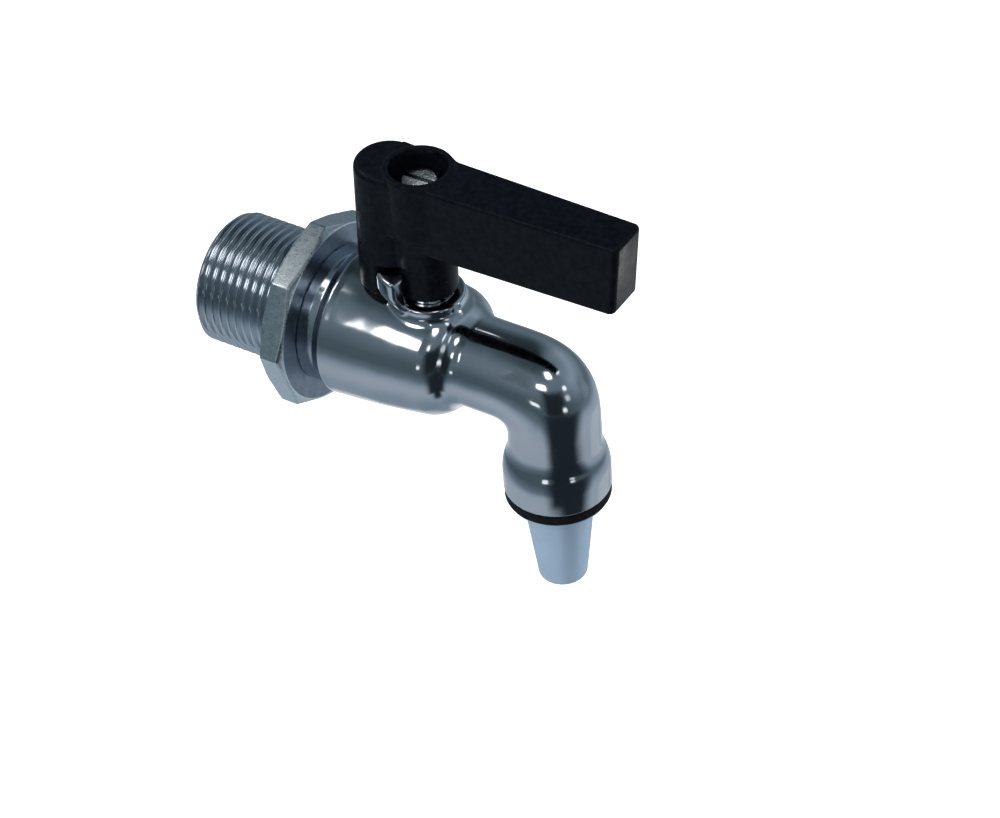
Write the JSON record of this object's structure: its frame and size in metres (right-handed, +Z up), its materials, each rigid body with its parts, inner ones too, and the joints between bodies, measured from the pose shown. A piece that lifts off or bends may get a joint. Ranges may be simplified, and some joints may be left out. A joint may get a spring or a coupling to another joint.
{
  "type": "drum tap",
  "caption": "Plated lever ball tap with a male threaded inlet, an octagonal flange, a spout bent down, a rubber ring and a tapered nozzle.",
  "frame": {"origin": "where the pipe axis meets the flange's inlet face", "axes": "+X along the pipe from the inlet to the spout, +Z up along the stem, +Y away from the side that the picture shows; the tap stands as it does on an upright drum head"},
  "size_m": [0.0918, 0.0392, 0.0897],
  "materials": {
    "chrome": "bright plated brass",
    "satin_chrome": "satin plated, paler than the body",
    "black_plastic": "moulded, fairly glossy",
    "black_rubber": "smooth",
    "ptfe": "smooth, white",
    "brass": "turned",
    "steel": "zinc plated"
  },
  "bodies": {
    "tap_body": {"body": "chrome", "inlet_connector": "chrome", "connector_seal": "ptfe", "inlet_seat": "ptfe", "outlet_seat": "ptfe", "gland_packing_lower": "ptfe", "gland_packing_upper": "ptfe", "gland_nut": "steel", "nozzle_ring": "black_rubber", "nozzle": "satin_chrome"},
    "lever_and_ball": {"lever": "black_plastic", "lever_insert": "brass", "lever_washer": "steel", "lever_spring_washer": "steel", "lever_screw": "steel", "stem": "brass", "stem_thrust_washer": "ptfe", "stem_ring_lower": "black_rubber", "stem_ring_upper": "black_rubber", "ball": "chrome"}
  },
  "joints": [
    {"name": "lever_turn", "type": "hinge", "parent": "tap_body", "child": "lever_and_ball", "pos_m": [0.0276, 0, 0.03], "axis": [0, 0, 1], "range_deg": [-90, 0]}
  ]
}
